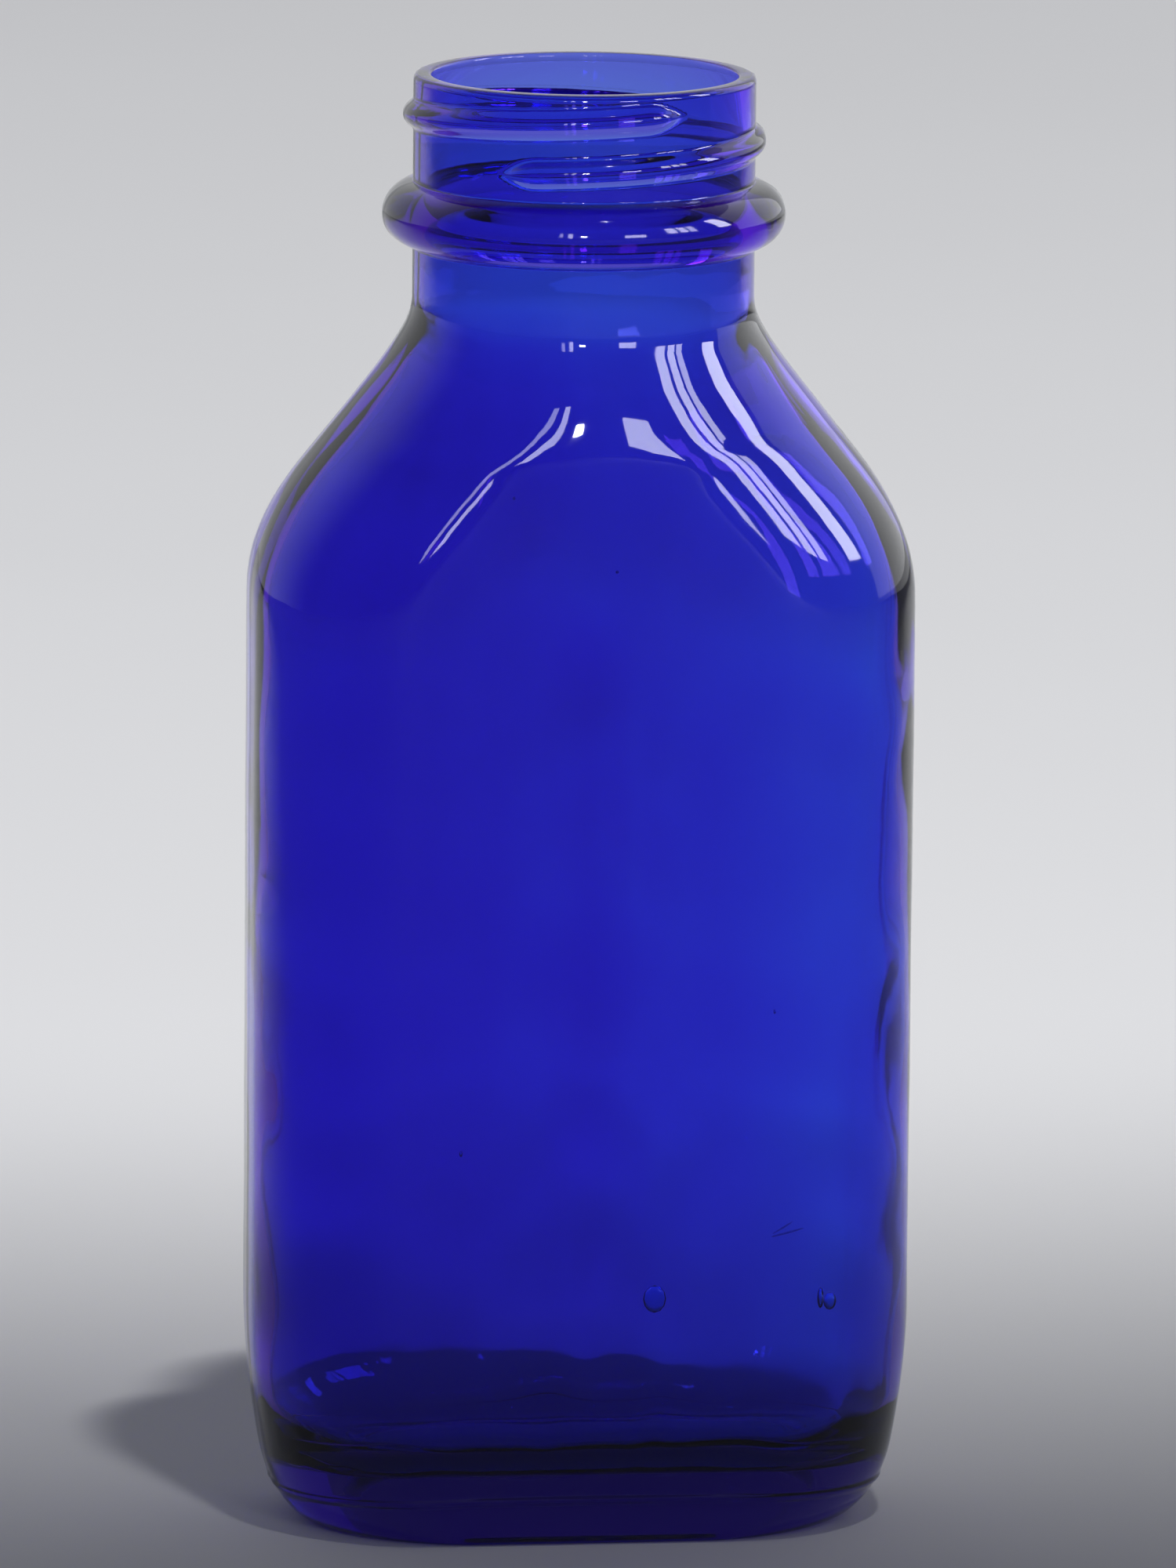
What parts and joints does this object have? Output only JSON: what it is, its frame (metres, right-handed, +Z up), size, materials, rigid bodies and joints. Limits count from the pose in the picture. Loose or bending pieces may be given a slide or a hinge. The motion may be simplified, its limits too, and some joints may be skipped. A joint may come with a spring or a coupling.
{
  "type": "apothecary bottle",
  "caption": "Rectangular cobalt-blue glass bottle with sloping shoulders, arched panels, a round screw-thread neck with a cap bead, and a flat sealing lip.",
  "frame": {"origin": "centre of the base, on the surface that the bottle stands on", "axes": "+Z up along the neck, +X along the wide way of the body, -Y out of the front panel"},
  "size_m": [0.081, 0.049, 0.1778],
  "materials": {
    "cobalt_glass": "clear cobalt-blue moulded glass, smooth and glossy, with faint ripple"
  },
  "bodies": {
    "root": {"glass_bottle": "cobalt_glass"}
  },
  "joints": []
}
